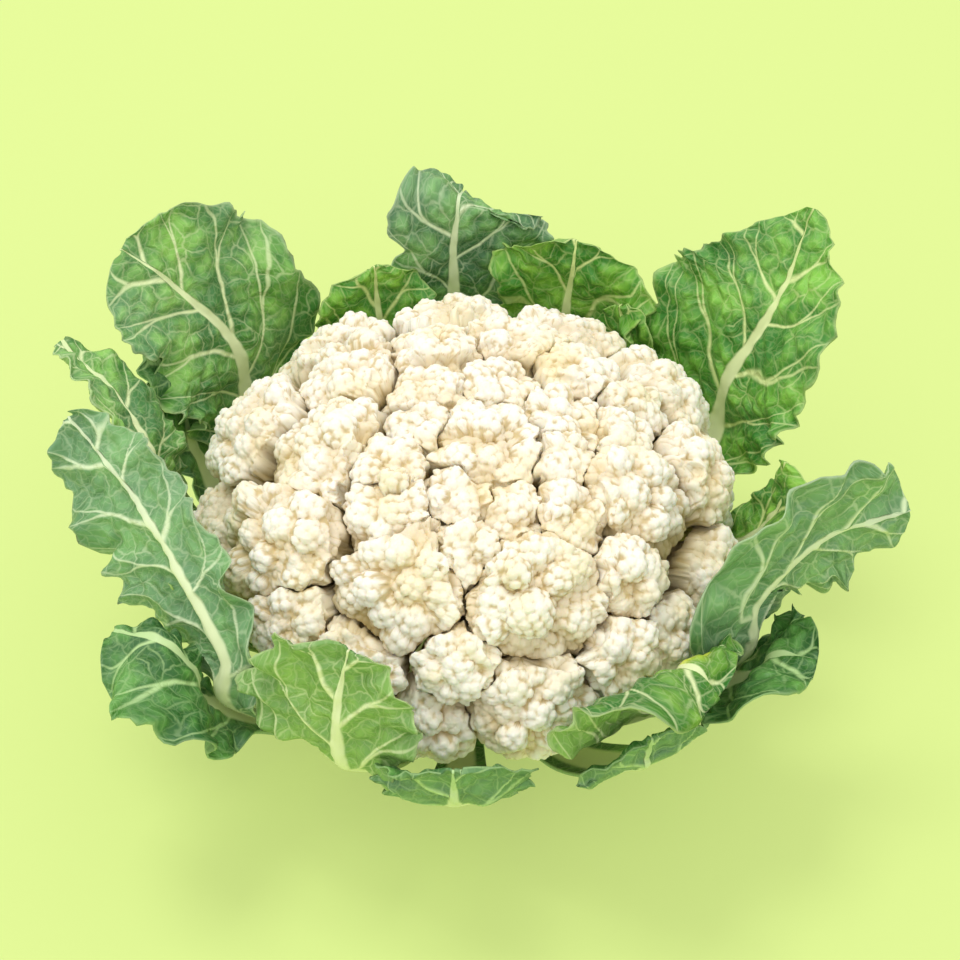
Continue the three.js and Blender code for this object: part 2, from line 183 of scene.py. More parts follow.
# The blotch colour is the leaf's lighter mottling and also the painted highlight on the blisters' tops.
for finish, (face, blotch, lower, veins, bloom) in FINISHES.items():
    for part, about, code in (
        ("face", "the upper face", face),
        ("blotch", "the upper face's blisters", blotch),
        ("lower", "the lower face", lower),
        ("veins", "the side veins", veins),
    ):
        label = f"{finish.capitalize()} {part}"
        LeafLook.__annotations__[f"{finish}_{part}"] = colour(label, f"Colour of {about}", code)
    LeafLook.__annotations__[f"{finish}_bloom"] = factor(f"{finish.capitalize()} bloom", "How waxy the leaf is", bloom)


class StalkLook(bpy.types.PropertyGroup):
    """Colours of the stalk."""

    rind: colour("Rind", "Colour of the rind between its fibres", "b9cc86")
    fibres: colour("Fibres", "Colour of the rind's fibres", "dfe8b8")
    scars: colour("Scars", "Colour of the leaf scars", "c8b888")
    pith: colour("Pith", "Colour of the cut face", "f0efd2")


class StageLook(bpy.types.PropertyGroup):
    """The floor's colour and the strength of the lights."""

    paper: colour("Paper", "Colour of the floor", "daed92")
    glow: factor("Glow", "Share of the floor's light that comes through it", 0.36)
    room: factor("Room", "Strength of the light from all round", 0.92, 5)
    key: factor("Key", "Power of the light from the upper left in watts", 18, 200)
    front: factor("Front", "Power of the light from the front in watts", 5, 200)


def add(tree, kind, inputs=None, out=0, **settings):
    """Adds one node with its settings and links, and gives its output. An input takes a value or another's output."""
    node = tree.nodes.new(kind)
    for name, value in settings.items():
        setattr(node, name, value)
    for name, value in (inputs or {}).items():
        if isinstance(value, bpy.types.NodeSocket):
            tree.links.new(value, node.inputs[name])
        else:
            node.inputs[name].default_value = value
    return node.outputs[out]


def smooth(x, low, high):
    t = np.clip((x - low) / (high - low), 0, 1)
    return t * t * (3 - 2 * t)


def wander(seed, x, y, waves=7):
    """Smooth noise of two lengths: the mean of sine waves in seeded directions, about one unit long, from -1 to 1."""
    rng = np.random.default_rng(seed)
    total = 0
    for _ in range(waves):
        turn, phase, pace = rng.uniform(0, 2 * math.pi), rng.uniform(0, 2 * math.pi), rng.uniform(0.7, 1.5)
        total = total + np.sin(2 * math.pi * pace * (x * math.cos(turn) + y * math.sin(turn)) + phase)
    return total / math.sqrt(waves) / 1.2


def mesh_object(name, points, faces, attributes=None, uv=None, materials=()):
    """A smooth mesh object at the origin, from points in millimetres and faces of three or four corners."""
    mesh = bpy.data.meshes.new(name)
    points = np.asarray(points, float) * MM
    sizes = np.concatenate([np.full(len(f), f.shape[1]) for f in faces])
    corners = np.concatenate([f.ravel() for f in faces]).astype(np.int32)
    mesh.vertices.add(len(points))
    mesh.vertices.foreach_set("co", points.astype(np.float32).ravel())
    mesh.loops.add(len(corners))
    mesh.loops.foreach_set("vertex_index", corners)
    mesh.polygons.add(len(sizes))
    mesh.polygons.foreach_set("loop_start", np.concatenate([[0], np.cumsum(sizes)[:-1]]).astype(np.int32))
    mesh.polygons.foreach_set("loop_total", sizes.astype(np.int32))
    for label, values in (attributes or {}).items():
        kind = "FLOAT_VECTOR" if values.ndim == 2 else "FLOAT"
        layer = mesh.attributes.new(label, kind, "POINT")
        layer.data.foreach_set("vector" if values.ndim == 2 else "value", values.astype(np.float32).ravel())
    mesh.update(calc_edges=True)
    if uv is not None:
        mesh.uv_layers.new(name="Leaf").data.foreach_set("uv", (uv[corners] * MM).astype(np.float32).ravel())
    mesh.polygons.foreach_set("use_smooth", np.ones(len(sizes), bool))
    for material in materials:
        mesh.materials.append(material)
    mesh.validate()
    piece = bpy.data.objects.new(name, mesh)
    bpy.context.scene.collection.objects.link(piece)
    return piece


def polar(azimuth, r, z):
    a = math.radians(azimuth)
    return np.array([r * math.cos(a), r * math.sin(a), z])


def spiral(count, turn):
    """Even directions over a sphere: equal steps in height, the golden angle in azimuth."""
    z = 1 - (2 * np.arange(count) + 1) / count
    a = turn + GOLDEN * np.arange(count)
    r = np.sqrt(1 - z * z)
    return np.stack([r * np.cos(a), r * np.sin(a), z], 1)


def random_turn(rng):
    """A seeded rotation matrix."""
    q, r = np.linalg.qr(rng.normal(size=(3, 3)))
    q = q * np.sign(np.diag(r))
    return q if np.linalg.det(q) > 0 else -q


# ---------------------------------------------------------------- florets


def head_grid(side):
    """Directions and faces of a closed head: a square grid laid on the sphere by square rings, the rim of the square
    drawn together at the bottom. The top of the head has most of the grid."""
    a, b = np.meshgrid(np.linspace(-1, 1, side), np.linspace(-1, 1, side), indexing="ij")
    ring = np.maximum(abs(a), abs(b))
    wide = abs(a) >= abs(b)
    with np.errstate(divide="ignore", invalid="ignore"):
        turn = np.where(wide, b / a, 2 - a / b) * math.pi / 4
    turn = np.nan_to_num(np.where(np.where(wide, a, b) < 0, turn + math.pi, turn))
    lean = np.radians(np.where(ring < 0.87, 80 * ring / 0.87, 80 + 100 * (ring - 0.87) / 0.13))
    way = np.stack([np.sin(lean) * np.cos(turn), np.sin(lean) * np.sin(turn), np.cos(lean)], -1)
    index = np.full((side, side), -1)
    inner = np.arange((side - 2) ** 2).reshape(side - 2, side - 2)
    index[1:-1, 1:-1] = inner
    pole = inner.size
    index[index < 0] = pole
    quads = np.stack([index[:-1, :-1], index[1:, :-1], index[1:, 1:], index[:-1, 1:]], -1).reshape(-1, 4)
    bottoms = (quads == pole).sum(1)
    squares = quads[bottoms == 0]
    single = quads[bottoms == 1]
    pair = quads[bottoms == 2]
    triangles = []
    for quad_set in (pair,):
        roll = np.argmax((quad_set == pole) & (np.roll(quad_set, -1, 1) == pole), 1)
        order = (roll[:, None] + np.arange(1, 4)) % 4
        triangles.append(np.take_along_axis(quad_set, order, 1))
    faces = [squares, np.concatenate(triangles)]
    if len(single):
        faces.append(single)
    ways = np.concatenate([way[1:-1, 1:-1].reshape(-1, 3), [[0, 0, -1]]])
    return ways, faces


def curd_reach(ways):
    """Distance from the core's centre to the curd's outline, two half-ellipsoids, along directions."""
    below = CURD_LEVEL - CORE_LEVEL
    radial = np.hypot(ways[..., 0] / OUTLINE_RADIUS, ways[..., 1] / OUTLINE_DEPTH)

    def reach(depth):
        rise, offset = ways[..., 2] / depth, -below / depth
        a, b = radial**2 + rise**2, rise * offset
        return (-b + np.sqrt(b * b - a * (offset**2 - 1))) / a

    upper = reach(OUTLINE_RISE)
    return np.where(upper * ways[..., 2] >= below, upper, reach(CURD_DROP))


def floret_layout():
    """Direction, head radius, reach and lift of every floret."""
    made = []
    for azimuth, tilt, radius, lift in FLORETS:
        t = math.radians(tilt)
        way = polar(azimuth, math.sin(t), math.cos(t))
        made.append((way, radius, float(curd_reach(way)) + lift, lift))
    return made


def seams_of(me, layout):
    """The seams between a floret and its neighbours: outward normals of planes through the core's centre, nearer the
    smaller floret, and for each the sign with which this floret reads the seam's wave."""
    way, radius = layout[me][:2]
    seams = []
    for other, (there, size, _, _) in enumerate(layout):
        angle = math.acos(np.clip(way @ there, -1, 1))
        if other == me or angle > math.radians(85):
            continue
        share = angle * radius / (radius + size)
        middle = unit(way * math.sin(angle - share) + there * math.sin(share))
        seams.append((unit(there - middle * (there @ middle)), SEAM_WANDER if me < other else -SEAM_WANDER))
    return seams


def seam_wave(points):
    """How far the seam between two florets wanders at points in space, from -1 to 1: the mean of seeded sine waves
    about 9 mm long. Both florets of a seam read the same wave."""
    rng = np.random.default_rng(77)
    total = 0
    for _ in range(6):
        pace = unit(rng.normal(size=3)) * 2 * math.pi / rng.uniform(7, 13)
        total = total + np.sin(points @ pace + rng.uniform(0, 6.28))
    return total / 2.6


def rice(points):
    """Closely packed bumps in space, 1 on top and 0 in the creases between them: the product of the sizes of three
    seeded sine waves, 4 mm from crease to crease, on axes square to each other and bent by a slow wave."""
    turn = random_turn(np.random.default_rng(5))
    bent = points @ turn + 1.2 * seam_wave(points * 0.8)[:, None]
    return np.abs(np.prod(np.sin(math.pi * bent / 4.0), axis=1)) ** 0.3


def tuck(spots, sizes, seams, gap, origin):
    """Moves ball centres inwards until each ball, of its given size, lies inside every seam."""
    for _ in range(2):
        for normal, wander_by in seams:
            room = wander_by * seam_wave(origin + spots) - gap / 2 - (origin + spots) @ normal
            spots = spots - np.maximum(sizes - room, 0)[:, None] * normal
    return spots


def far_side(ways, centre, radius):
    """Distance along each direction from the origin to the far side of a sphere, or 0 where it is missed."""
    b = ways @ centre
    q = b * b - centre @ centre + radius * radius
    return np.where((q > 0) & (b > 0), b + np.sqrt(np.maximum(q, 0)), 0)


def dome(cosine, sine, wide, deep):
    """Distance from the centre of a dome, half an ellipsoid, at an angle from its axis."""
    return 1 / np.sqrt((sine / wide) ** 2 + (cosine / deep) ** 2)


def floret_surface(me, layout, look):
    """A floret as a distance from its head's centre for every direction. The distance is the furthest of three sets
    of balls and the branch's cone: lobes against the inside of the head's ellipsoid, bunches against the inside of
    each lobe and of a lower dome that fills the hollows, and buds against the inside of each bunch. Seams through
    the core's centre cut it from its neighbours, and a plane across its branch cuts it from the core. Also gives how
    deep each point lies between bunches, between lobes and under the curd's outline."""
    rng = np.random.default_rng(400 + me)
    way, radius, reach, lift = layout[me]
    bunch, bud, gap = look.bunch / MM, look.bud / MM, look.gap / MM
    # Heads crowd each other, so they are wide and flat, except round the curd's lower edge, where they are free.
    wide, deep = radius * (CROWDED if way[2] > 0.35 else FREE), radius * HEAD_SWELL * HEAD_DEPTH
    east = unit(np.cross((0, 0, 1), way))
    basis = np.stack([east, np.cross(way, east), way])
    side = int(2 * math.radians(80) * 1.12 * radius / 0.87 / (look.pitch / MM)) // 2 * 2 + 1
    local, faces = head_grid(side)
    ways = local @ basis
    centre = way * (reach - deep)
    seams = seams_of(me, layout)

    # Lobes stand against the inside of the head and a little proud of it, in groups that rise and sink together.
    proud = 1.6
    lobe = look.lobe / MM + 0.1 * radius
    span = np.array([wide, wide, deep]) + proud
    count = round(4 * math.pi * (span[0] - lobe) * (span[2] - lobe + 1) / (1.3 * lobe) ** 2) + 6
    seats = spiral(count, 0) @ random_turn(rng)
    seats = seats[seats[:, 2] > -0.3]
    seats = seats + rng.normal(size=seats.shape) * 0.07
    lobe_size = lobe * rng.uniform(0.78, 1.2, len(seats))
    sunk = 0.8 * seam_wave(seats * wide * 0.55 + 50 * me)[:, None]
    spots = seats * (span - lobe_size[:, None] + sunk - 0.6) @ basis
    inside = np.all([(centre + spots) @ normal < 0.5 * lobe_size for normal, _ in seams], 0)
    spots, lobe_size = spots[inside], lobe_size[inside]
    spots = tuck(spots, 0.3 * lobe_size, seams, gap, centre)
    # A lower dome fills the hollows between the lobes.
    filling = np.array([wide - 1.5, wide - 1.5, deep - 3.5])
    holders = [(spot, np.full(3, size), unit(spot + 4 * way)) for spot, size in zip(spots, lobe_size)]
    holders.append((np.zeros(3), filling, way))

    cosine, sine = local[:, 2], np.sqrt(np.maximum(1 - local[:, 2] ** 2, 1e-9))
    shell = np.where(cosine > -0.2, dome(cosine, sine, filling[0], filling[2]), 0)
    buds = shell - 2.6
    for spot, size, facing in holders:
        if size[0] == size[2]:
            shell = np.maximum(shell, far_side(ways, spot, size[0]))
            buds = np.maximum(buds, far_side(ways, spot, size[0] - 2.2))
        a, c = size[0] - bunch, size[2] - bunch
        n = round(4 * math.pi * a * (a + 2 * c) / 3 / (1.25 * bunch) ** 2) + 6
        around = spiral(n, 0) @ random_turn(rng)
        around = around[around @ facing > -0.25]
        ball = bunch * rng.uniform(0.8, 1.25, len(around))
        sink = rng.uniform(-0.35, 0.35, len(around))
        balls = spot + (around @ basis.T * (size - (ball + sink)[:, None])) @ basis
        balls = tuck(balls, 0.35 * ball, seams, gap, centre)
        for q, r2 in zip(balls, ball):
            reach_q = np.linalg.norm(q)
            near = ways @ (q / reach_q) > math.cos(math.asin(min(1, (r2 + 0.2) / reach_q)))
            if not near.any():
                continue
            seen = ways[near]
            tips = spiral(26, 0) @ random_turn(rng)
            tips = tips[tips @ (q / reach_q) > 0]
            tip_size = bud * rng.uniform(0.8, 1.2, len(tips))
            at = q + tips * (r2 + 0.06 - tip_size)[:, None]
            b = seen @ at.T
            h = b * b - (at * at).sum(1) + tip_size**2
            best = np.where(h > 0, b + np.sqrt(np.maximum(h, 0)), 0).max(1)
            buds[near] = np.maximum(buds[near], np.maximum(best, far_side(seen, q, r2 - 0.2 * bud)))

    thick = radius * BRANCH_TAPER
    start = reach - deep - CORE_RADIUS - 0.5
    slope = (thick - BRANCH_RADIUS) / start
    cone = np.where(cosine <= 0, thick / np.maximum(sine - slope * cosine, 1e-3), 0)
    distance = np.maximum(buds, cone)
    head = dome(cosine, sine, wide, deep) + proud
    # Crease, fold and depth measure how deep a point sits in a hollow; the curd's material paints shade from them.
    crease = (shell - distance) / 1.5
    fold = (head - np.maximum(shell, distance)) / (0.6 * lobe)
    for normal, wander_by in seams:
        toward = np.maximum(ways @ normal, 1e-4)
        flat = np.minimum((-gap / 2 - centre @ normal) / toward, 3 * wide)
        wave = seam_wave(centre + ways * flat[:, None])
        stop = (wander_by * wave - gap / 2 - centre @ normal) / toward
        stop = np.where(ways @ normal > 1e-4, np.maximum(stop, 1), 1e9)
        bumps = 1 - rice(centre + ways * np.minimum(stop, 3 * wide)[:, None])
        stop = stop - np.minimum(0.9 * bumps / np.maximum(toward, 0.5), 0.3 * stop)
        crease = np.where(stop < distance, bumps, crease)
        distance = np.minimum(distance, stop)
    distance = np.minimum(distance, np.where(cosine < -1e-3, start / np.maximum(-cosine, 1e-4), 1e9))
    points = centre + ways * distance[:, None]
    length_out = np.linalg.norm(points, axis=1)
    depth = (curd_reach(points / length_out[:, None]) + lift - length_out) / 14
    return points + (0, 0, CORE_LEVEL), faces, np.clip(np.stack([crease, fold, depth], 1), 0, 1)


def curd_material(look):
    """Fresh cauliflower curd: packed flower buds, undyed and full of water. The eye gets a matt cream with light
    sinking in a little, painted shade in warmer tan in the creases, and small ivory blotches."""
    material = bpy.data.materials.new("Fresh curd")
    material.use_nodes = True
    tree = material.node_tree
    shader = tree.nodes["Principled BSDF"]
    place = add(tree, "ShaderNodeTexCoord", out="Object")
    hollow = add(tree, "ShaderNodeAttribute", out="Vector", attribute_name="hollow")
    blotch = add(tree, "ShaderNodeTexNoise", {"Vector": place, "Scale": 55.0, "Detail": 3.0})
    much = add(tree, "ShaderNodeMapRange", {"Value": blotch, "From Min": 0.45, "From Max": 0.75})
    skin = add(tree, "ShaderNodeMix", {0: much, 6: tuple(look.cream), 7: tuple(look.ivory)}, 2, data_type="RGBA")
    apart = add(tree, "ShaderNodeSeparateXYZ", {"Vector": hollow}).node.outputs
    # Painted shade: the hollows between bunches (X), between lobes (Y) and between florets (Z) are darkened towards
    # tan and brown.
    for part, low, high, strength, tint in (
        (apart["X"], 0.36, 1.0, 0.80, look.crease),
        (apart["Y"], 0.40, 1.0, 0.42, look.fold),
        (apart["Z"], 0.42, 1.0, 0.70, look.deep),
    ):
        limits = {"Value": part, "From Min": low, "From Max": high, "To Max": strength}
        shade = add(tree, "ShaderNodeMapRange", limits, interpolation_type="SMOOTHSTEP")
        skin = add(tree, "ShaderNodeMix", {0: shade, 6: skin, 7: tuple(tint)}, 2, data_type="RGBA")
    tree.links.new(skin, shader.inputs["Base Color"])
    shader.inputs["Roughness"].default_value = 0.62
    shader.inputs["IOR"].default_value = 1.4
    shader.inputs["Specular IOR Level"].default_value = 0.35
    shader.inputs["Subsurface Weight"].default_value = 0.25
    shader.inputs["Subsurface Radius"].default_value = (1.0, 0.7, 0.4)
    shader.inputs["Subsurface Scale"].default_value = 0.0008
    # The grain of unopened buds is about 0.9 mm.
    grain = add(tree, "ShaderNodeTexVoronoi", {"Vector": place, "Scale": 1100.0})
    bump = add(tree, "ShaderNodeBump", {"Height": grain, "Strength": 0.35, "Distance": 0.0002}, invert=True)
    tree.links.new(bump, shader.inputs["Normal"])
    return material


# ---------------------------------------------------------------- leaves


def rounded_path(points):
    """A Catmull-Rom curve through points, as many close points and the length to each."""
    p = np.array([2 * points[0] - points[1], *points, 2 * points[-1] - points[-2]])
    t = np.linspace(0, 1, 200, endpoint=False)[:, None]
    parts = []
    for p0, p1, p2, p3 in zip(p, p[1:], p[2:], p[3:]):
        m0, m1 = (p2 - p0) / 2, (p3 - p1) / 2
        parts.append((2 * p1 - 2 * p2 + m0 + m1) * t**3 + (-3 * p1 + 3 * p2 - 2 * m0 - m1) * t**2 + m0 * t + p1)
    line = np.concatenate([*parts, points[-1][None]])
    return line, np.concatenate([[0], np.cumsum(np.linalg.norm(np.diff(line, axis=0), axis=1))])


def unit(v):
    return v / np.linalg.norm(v, axis=-1, keepdims=True)


# Holes eaten in the blades, as share of the blade's length, millimetres across from the midrib, and radius.
FORK = 0.22
HOLES = {"front_right": [(0.66, 7.5, 4.2)]}


def leaf_surface(name, look):
    """A leaf as a sheet of two parameters: u along its midrib and v across, from -1 to 1. The midrib is a smooth
    curve from the stalk, under the curd, to the tip. A sideways direction is carried along it without twisting, and
    the cross-section is two arcs that start at the fold angle and turn by the cupping. The margin is an oval with
    seeded lobes. The sheet is moved along its normal by ruffles that grow towards the margin, blisters between the
    veins and grooves along them, and gets two faces: the lower one stands out further along the midrib and veins."""
    whorl, rise, wrap, fold, cup, roll, widest, _, base, point, ruffle, lobing, notches = LEAVES[name]
    seed = sum(map(ord, name))
    clear, root, belly, hip_level = WHORLS[whorl]
    azimuth, hip = rise[0][0], CURD_RADIUS + clear - 3
    points = [polar(azimuth, STALK_ROOT, root), polar(azimuth, (STALK_ROOT + hip) / 2, belly), polar(azimuth, hip, hip_level)]
    hip_length = rounded_path(points)[1][-1]
    points += [polar(a, CURD_RADIUS + out, CURD_LEVEL + up) for a, out, up in rise]
    line, along = rounded_path(points)
    total = along[-1]
    share = hip_length / total

    full = [math.radians(w) * (CURD_RADIUS + clear) for w in wrap]
    pitch = look.pitch / MM
    rows = int(total / pitch) + 1
    halves = [max(10, int(f * 1.1 / pitch)) for f in full]
    v = np.concatenate([-np.linspace(1, 0, halves[0], endpoint=False), np.linspace(0, 1, halves[1] + 1)])
    v = np.sign(v) * np.abs(v) ** 0.92
    k = np.linspace(0, 1, rows)
    u = 0.35 * k + 0.65 * (1 - (1 - k) ** 1.35)
    u = (u - u[0]) / (u[-1] - u[0])

    tangent = unit(np.gradient(line, along, axis=0))
    steps = np.linspace(0, total, 61)
    turns = unit(np.stack([np.interp(steps, along, tangent[:, i]) for i in range(3)], 1))
    sideways = unit(np.array([-line[0, 1], line[0, 0], 0.0]))
    carried = []
    for turn in turns:
        sideways = unit(sideways - turn * (sideways @ turn))
        carried.append(sideways)
    carried = np.array(carried)
    at = lambda table, where: np.stack([np.interp(u * total, where, table[:, i]) for i in range(3)], 1)
    centre, ahead, across = at(line, along), unit(at(tangent, along)), at(carried, steps)
    across = unit(across - ahead * (across * ahead).sum(1, keepdims=True))
    inward = np.cross(ahead, across)
    blade = smooth(u, share * 0.8, 1)
    lean = math.radians(roll) * blade[:, None]
    across, inward = across * np.cos(lean) + inward * np.sin(lean), inward * np.cos(lean) - across * np.sin(lean)

    uu, vv = np.meshgrid(u, v, indexing="ij")
    half = (vv >= 0).astype(int)
    sign = np.where(vv >= 0, 1.0, -1.0)
    pick = lambda pair: np.where(half == 1, pair[1], pair[0])
    start = share * 0.85
    t = np.maximum(0, (uu - start) / (1 - start))
    oval = np.where(t < widest, smooth(t, 0, widest) ** base, np.maximum(0, 1 - ((t - widest) / (1.004 - widest)) ** 2) ** point)
    margin = 1 + lobing * smooth(t, 0.05, 0.3) * (wander(seed, half * 9.0, t * total / 24) + 0.45 * wander(seed + 1, half * 9.0, t * total / 9))
    for side, place, width, depth in notches:
        margin = margin * (1 - depth * (half == side) * np.exp(-(((t - place) / width) ** 2)))
    petiole = PETIOLE_HALF * (1 + PETIOLE_SPREAD * smooth(uu, 0, start)) * (1 - smooth(t, widest, 1))
    width = petiole * (1 - oval) + pick(full) * oval * margin
    b = blade[:, None]
    bend = np.radians(pick(fold)) * b
    curl = np.radians(pick(wrap) * (1 - b) + pick(cup) * b)
    curl = np.where(abs(curl) < 1e-6, 1e-6, curl)
    turn = curl * abs(vv)
    x = (np.sin(bend + turn) - np.sin(bend)) * width / curl
    y = (np.cos(bend) - np.cos(bend + turn)) * width / curl
    place = centre[:, None] + across[:, None] * (sign * x)[..., None] + inward[:, None] * y[..., None]
    out = inward[:, None] * np.cos(bend + turn)[..., None] - across[:, None] * (sign * np.sin(bend + turn))[..., None]

    # Lengths on the flat leaf: along the midrib and across it.
    s = uu * total
    w = abs(vv) * width
    blade_part = smooth(t, 0.0, 0.25)
    ribs = look.vein_spacing / MM
    drift = 0.16 * wander(seed + 2, s / 34 + 5 * sign, w / 34)
    phase = (s - 0.95 * w - 0.003 * w * w) / ribs + drift + 0.5 * (sign > 0) + 0.1 * seed
    # Each side vein forks in two on its way to the margin.
    nearest = abs(abs(phase - np.round(phase)) - FORK * smooth(abs(vv), 0.35, 1.05)) * ribs * 0.72
    rib_half = min(1, max(full) / 40) ** 0.5 * 4.6 * (1 - 0.95 * t) ** 1.25 + 0.35
    rib_half = rib_half + 4.5 * smooth(uu, 0, start) * (1 - smooth(t, 0, 0.25))
    rib = np.exp(-((w / rib_half) ** 2))
    vein = np.exp(-((nearest / 1.1) ** 2)) * blade_part * (1 - 0.6 * abs(vv)) * (1 - rib)
    blister = (0.6 + 0.4 * wander(seed + 3, s / 7.0, w * sign / 7.0)) * blade_part * (1 - rib)
    edge = smooth(abs(vv), 0.45, 1.0) * blade_part
    wave = wander(seed + 4, (s + 14 * half) / 17.0, half * 5.0, 5)
    tip_wave = wander(seed + 5, w * sign / 19.0, 0 * s, 4) * smooth(t, 0.75, 1.0)
    height = (
        ruffle * (1.2 * edge * wave + 0.7 * tip_wave)
        + 0.4 * ruffle * smooth(abs(vv), 0.7, 1.0) * blade_part * wander(seed + 7, s / 8.0, half * 5.0, 4)
        + look.quilting / MM * blister * (1 - np.exp(-((nearest / 3.2) ** 2)))
        - 0.35 * vein
        + 0.7 * wander(seed + 6, s / 30.0, w * sign / 30.0) * blade_part
    )
    thin = (look.thickness / MM) / 2 * (1 - 0.45 * smooth(abs(vv), 0.8, 1.0) * blade_part)
    swell = np.maximum(0, 5.0 * (1 - uu) ** 1.1 + 0.4) * rib
    upper = place + out * (height + thin + 0.18 * swell)[..., None]
    lower = place + out * (height - thin - swell - 0.7 * vein)[..., None]

    n, m = uu.shape
    grid = np.arange(n * m).reshape(n, m)
    quads = lambda g: np.stack([g[:-1, :-1], g[1:, :-1], g[1:, 1:], g[:-1, 1:]], -1).reshape(-1, 4)
    ring = np.concatenate([grid[0, :-1], grid[:-1, -1], grid[-1, :0:-1], grid[:0:-1, 0]])
    after = np.roll(ring, -1)
    low = n * m
    eaten = np.zeros(uu.shape, bool)
    blight = np.zeros(uu.shape)
    for share_out, off, size in HOLES.get(name, []):
        away = np.hypot(w * sign - off, s - (start + share_out * (1 - start)) * total)
        away = away * (1 + 0.16 * wander(seed + 8, s / 9, w / 9))
        eaten |= away < size
        blight = np.maximum(blight, 1 - smooth(away, size, 2.6 * size))
    whole = ~(eaten[:-1, :-1] & eaten[1:, :-1] & eaten[1:, 1:] & eaten[:-1, 1:])
    kept = quads(grid)[whole.ravel()]
    walls = [np.stack([ring, after, after + low, ring + low], 1)]
    padded = np.pad(whole, 1, constant_values=True)
    # A hole's wall stands on every grid edge between a kept face and an eaten one.
    for a, b, mine, next_to in (
        (grid[:-1, :-1], grid[1:, :-1], (0, 0), (0, -1)),
        (grid[1:, 1:], grid[:-1, 1:], (0, 0), (0, 1)),
        (grid[1:, :-1], grid[1:, 1:], (0, 0), (1, 0)),
        (grid[:-1, 1:], grid[:-1, :-1], (0, 0), (-1, 0)),
    ):
        beside = padded[1 + next_to[0] : n + next_to[0], 1 + next_to[1] : m + next_to[1]]
        rim = whole & ~beside
        walls.append(np.stack([b[rim], a[rim], a[rim] + low, b[rim] + low], 1))
    faces = [kept, kept[:, ::-1] + low, *walls]
    points = np.concatenate([upper.reshape(-1, 3), lower.reshape(-1, 3)])
    uv = np.stack([(w * sign).ravel(), s.ravel()], 1)
    facts = {
        "phase": np.tile(phase.ravel(), 2),
        "across": np.tile((w * sign).ravel(), 2),
        "rim": np.tile(abs(vv).ravel(), 2),
        "grown": np.tile(t.ravel(), 2),
        "midrib": np.tile(rib_half.ravel(), 2),
        "blight": np.tile(blight.ravel(), 2),
        "lower": np.repeat([0.0, 1.0], n * m),
    }
    return points, faces, facts, np.tile(uv, (2, 1))


